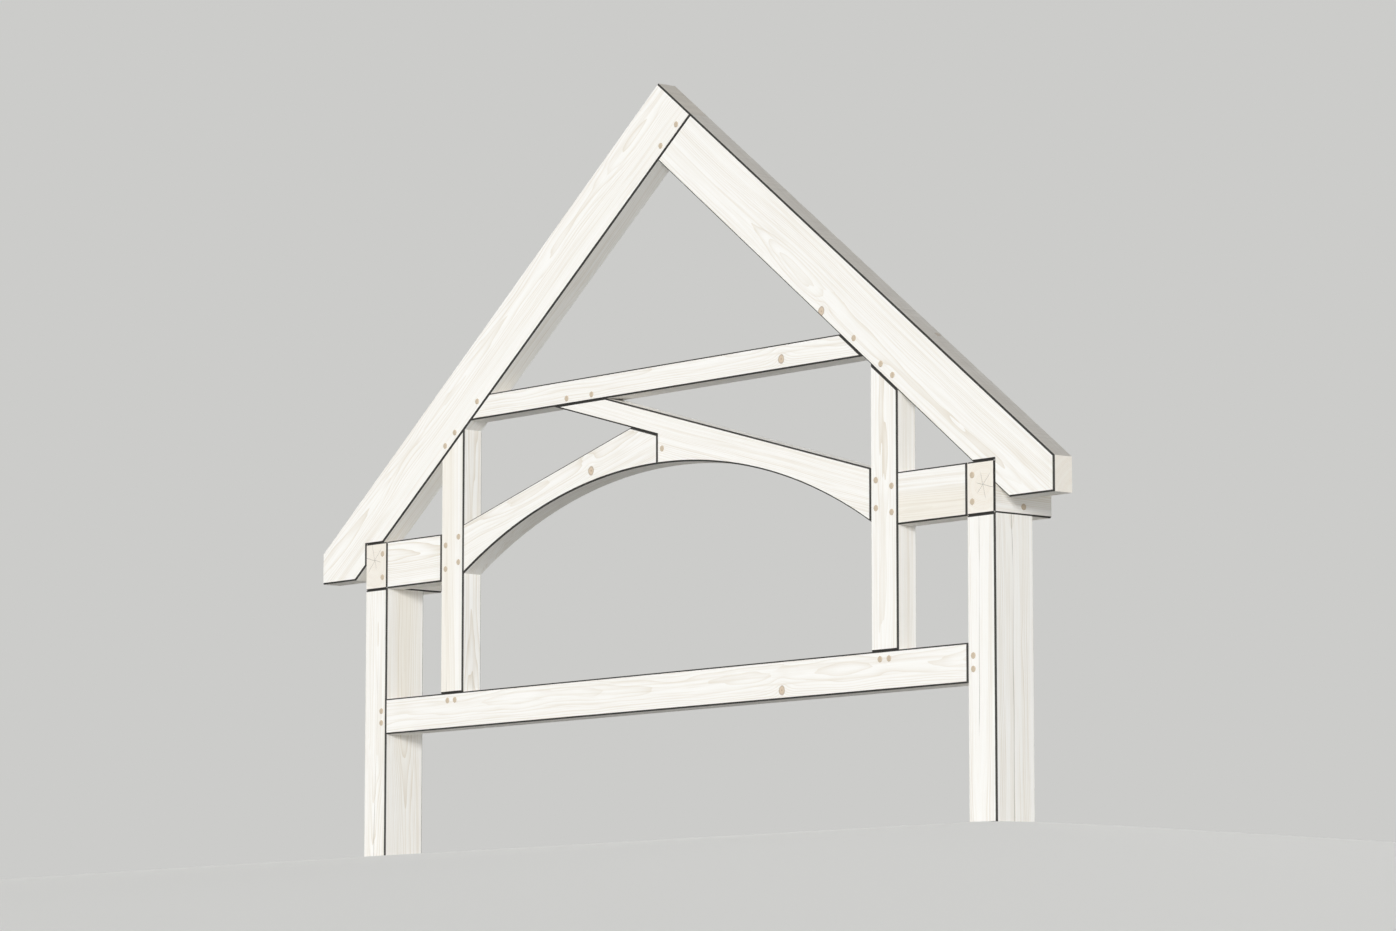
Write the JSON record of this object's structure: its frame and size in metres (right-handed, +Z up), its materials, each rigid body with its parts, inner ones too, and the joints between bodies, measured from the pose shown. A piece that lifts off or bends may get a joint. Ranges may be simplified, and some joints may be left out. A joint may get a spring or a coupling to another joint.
{
  "type": "timber roof truss",
  "caption": "Timber gable truss with rafters, collar tie, arched braces, queen posts, interrupted tie beam, cross rail and corner posts, pegged together.",
  "frame": {"origin": "floor level under the middle of the truss: the centre of the underside of its bounding box", "axes": "+X along the truss to the right as seen from the front, +Y from the front face to the back, +Z up"},
  "size_m": [4.572, 0.3078, 3.1041],
  "materials": {
    "timber": "planed whitewood",
    "peg": "riven hardwood"
  },
  "bodies": {
    "root": {"arch_brace_left": "timber", "arch_brace_right": "timber", "collar_tie": "timber", "corner_post_left": "timber", "corner_post_right": "timber", "cross_rail": "timber", "peg_brace_left_1": "peg", "peg_brace_left_2": "peg", "peg_brace_right_1": "peg", "peg_brace_right_2": "peg", "peg_collar_left": "peg", "peg_collar_right": "peg", "peg_crown": "peg", "peg_post_left": "peg", "peg_post_right": "peg", "peg_queen_foot_left_1": "peg", "peg_queen_foot_left_2": "peg", "peg_queen_foot_right_1": "peg", "peg_queen_foot_right_2": "peg", "peg_queen_top_left_1": "peg", "peg_queen_top_left_2": "peg", "peg_queen_top_right_1": "peg", "peg_queen_top_right_2": "peg", "peg_rail_left_1": "peg", "peg_rail_left_2": "peg", "peg_rail_right_1": "peg", "peg_rail_right_2": "peg", "peg_ridge_1": "peg", "peg_ridge_2": "peg", "peg_strut_1": "peg", "peg_strut_2": "peg", "peg_tie_inner_left_1": "peg", "peg_tie_inner_left_2": "peg", "peg_tie_inner_right_1": "peg", "peg_tie_inner_right_2": "peg", "peg_tie_outer_left_1": "peg", "peg_tie_outer_left_2": "peg", "peg_tie_outer_right_1": "peg", "peg_tie_outer_right_2": "peg", "queen_post_left": "timber", "queen_post_right": "timber", "rafter_left": "timber", "rafter_right": "timber", "tie_stub_left": "timber", "tie_stub_right": "timber", "wall_plate_left": "timber", "wall_plate_right": "timber"}
  },
  "joints": []
}
